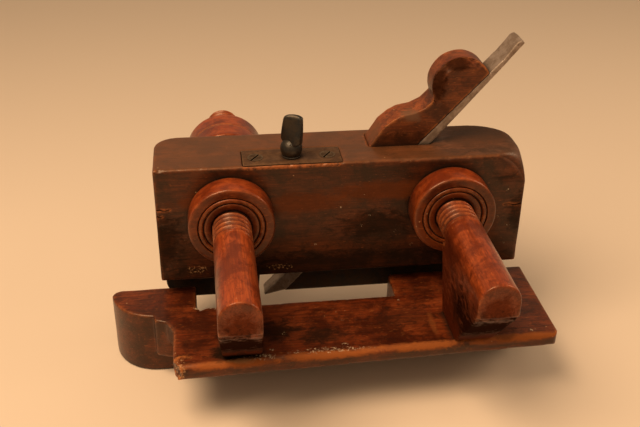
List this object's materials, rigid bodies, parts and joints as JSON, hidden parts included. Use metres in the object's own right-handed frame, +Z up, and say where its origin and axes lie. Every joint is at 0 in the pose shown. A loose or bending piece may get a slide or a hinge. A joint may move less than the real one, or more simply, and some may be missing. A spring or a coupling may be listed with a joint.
{
  "type": "screw-arm plough plane",
  "caption": "Wooden plough plane with a sliding fence on two threaded arms, wooden nuts, wedged iron, iron skate and screw depth stop.",
  "frame": {"origin": "on the sole of the rear skate, in the middle of its thickness, just behind the cutting edge", "axes": "+X from toe to heel, +Y from the fence towards the far side, +Z up, square to the skate's sole"},
  "size_m": [0.2882, 0.2654, 0.2109],
  "materials": {
    "stock_wood": "worn satin",
    "fence_wood": "worn satin",
    "arm_wood": "worn satin",
    "wedge_wood": "worn matte",
    "skate_iron": "dull",
    "stop_iron": "dull",
    "plane_iron": "aged",
    "screw_steel": "aged"
  },
  "bodies": {
    "stock": {"stock": "stock_wood", "front_skate": "skate_iron", "rear_skate": "skate_iron", "skate_screws": "screw_steel", "depth_plate": "stop_iron", "plate_screws": "screw_steel"},
    "fence": {"fence": "fence_wood", "toe_arm": "arm_wood", "heel_arm": "arm_wood", "arm_bolts": "screw_steel", "bolt_washers": "screw_steel"},
    "toe_near_nut": {"toe_near_nut": "arm_wood"},
    "toe_far_nut": {"toe_far_nut": "arm_wood"},
    "toe_lock_nut": {"toe_lock_nut": "arm_wood"},
    "heel_near_nut": {"heel_near_nut": "arm_wood"},
    "heel_far_nut": {"heel_far_nut": "arm_wood"},
    "thumbscrew": {"depth_screw": "stop_iron", "depth_collar": "screw_steel"},
    "depth_stop": {"depth_shoe": "stop_iron", "shoe_stem": "stop_iron", "shoe_guide": "screw_steel"},
    "iron": {"iron": "plane_iron"},
    "wedge": {"wedge": "wedge_wood"}
  },
  "joints": [
    {"name": "toe_near_nut_turn", "type": "hinge", "parent": "stock", "child": "toe_near_nut", "pos_m": [-0.044, -0.00525, 0.0815], "axis": [0, 1, 0], "range_deg": [-1140, 3390]},
    {"name": "toe_far_nut_turn", "type": "hinge", "parent": "stock", "child": "toe_far_nut", "pos_m": [-0.044, -0.00525, 0.0815], "axis": [0, 1, 0], "range_deg": [-1140, 3390]},
    {"name": "toe_lock_nut_turn", "type": "hinge", "parent": "stock", "child": "toe_lock_nut", "pos_m": [-0.044, -0.00525, 0.0815], "axis": [0, 1, 0], "range_deg": [-1140, 3390]},
    {"name": "heel_near_nut_turn", "type": "hinge", "parent": "stock", "child": "heel_near_nut", "pos_m": [0.101, -0.00525, 0.0815], "axis": [0, 1, 0], "range_deg": [-1140, 3390]},
    {"name": "heel_far_nut_turn", "type": "hinge", "parent": "stock", "child": "heel_far_nut", "pos_m": [0.101, -0.00525, 0.0815], "axis": [0, 1, 0], "range_deg": [-1140, 3390]},
    {"name": "fence_slide", "type": "slide", "parent": "stock", "child": "fence", "axis": [0, -1, 0], "range_m": [-0.016, 0.0475]},
    {"name": "thumbscrew_turn", "type": "hinge", "parent": "stock", "child": "thumbscrew", "pos_m": [-0.003, -0.01725, 0.1155], "axis": [0, 0, -1], "range_deg": [0, 6000]},
    {"name": "depth_stop_slide", "type": "slide", "parent": "stock", "child": "depth_stop", "axis": [0, 0, -1], "range_m": [0, 0.0255]},
    {"name": "iron_slide", "type": "slide", "parent": "stock", "child": "iron", "axis": [0.66, 0, 0.7513], "range_m": [0, 0.16]},
    {"name": "wedge_slide", "type": "slide", "parent": "iron", "child": "wedge", "axis": [0.5446, 0, 0.8387], "range_m": [0, 0.12]}
  ],
  "couplings": [
    {"joint": "toe_near_nut_turn", "follows": "fence_slide", "rad_per_m": 1236.8},
    {"joint": "toe_far_nut_turn", "follows": "fence_slide", "rad_per_m": 1236.8},
    {"joint": "toe_lock_nut_turn", "follows": "fence_slide", "rad_per_m": 1236.8},
    {"joint": "heel_near_nut_turn", "follows": "fence_slide", "rad_per_m": 1236.8},
    {"joint": "heel_far_nut_turn", "follows": "fence_slide", "rad_per_m": 1236.8},
    {"joint": "depth_stop_slide", "follows": "thumbscrew_turn", "m_per_rad": 0.00023873}
  ]
}
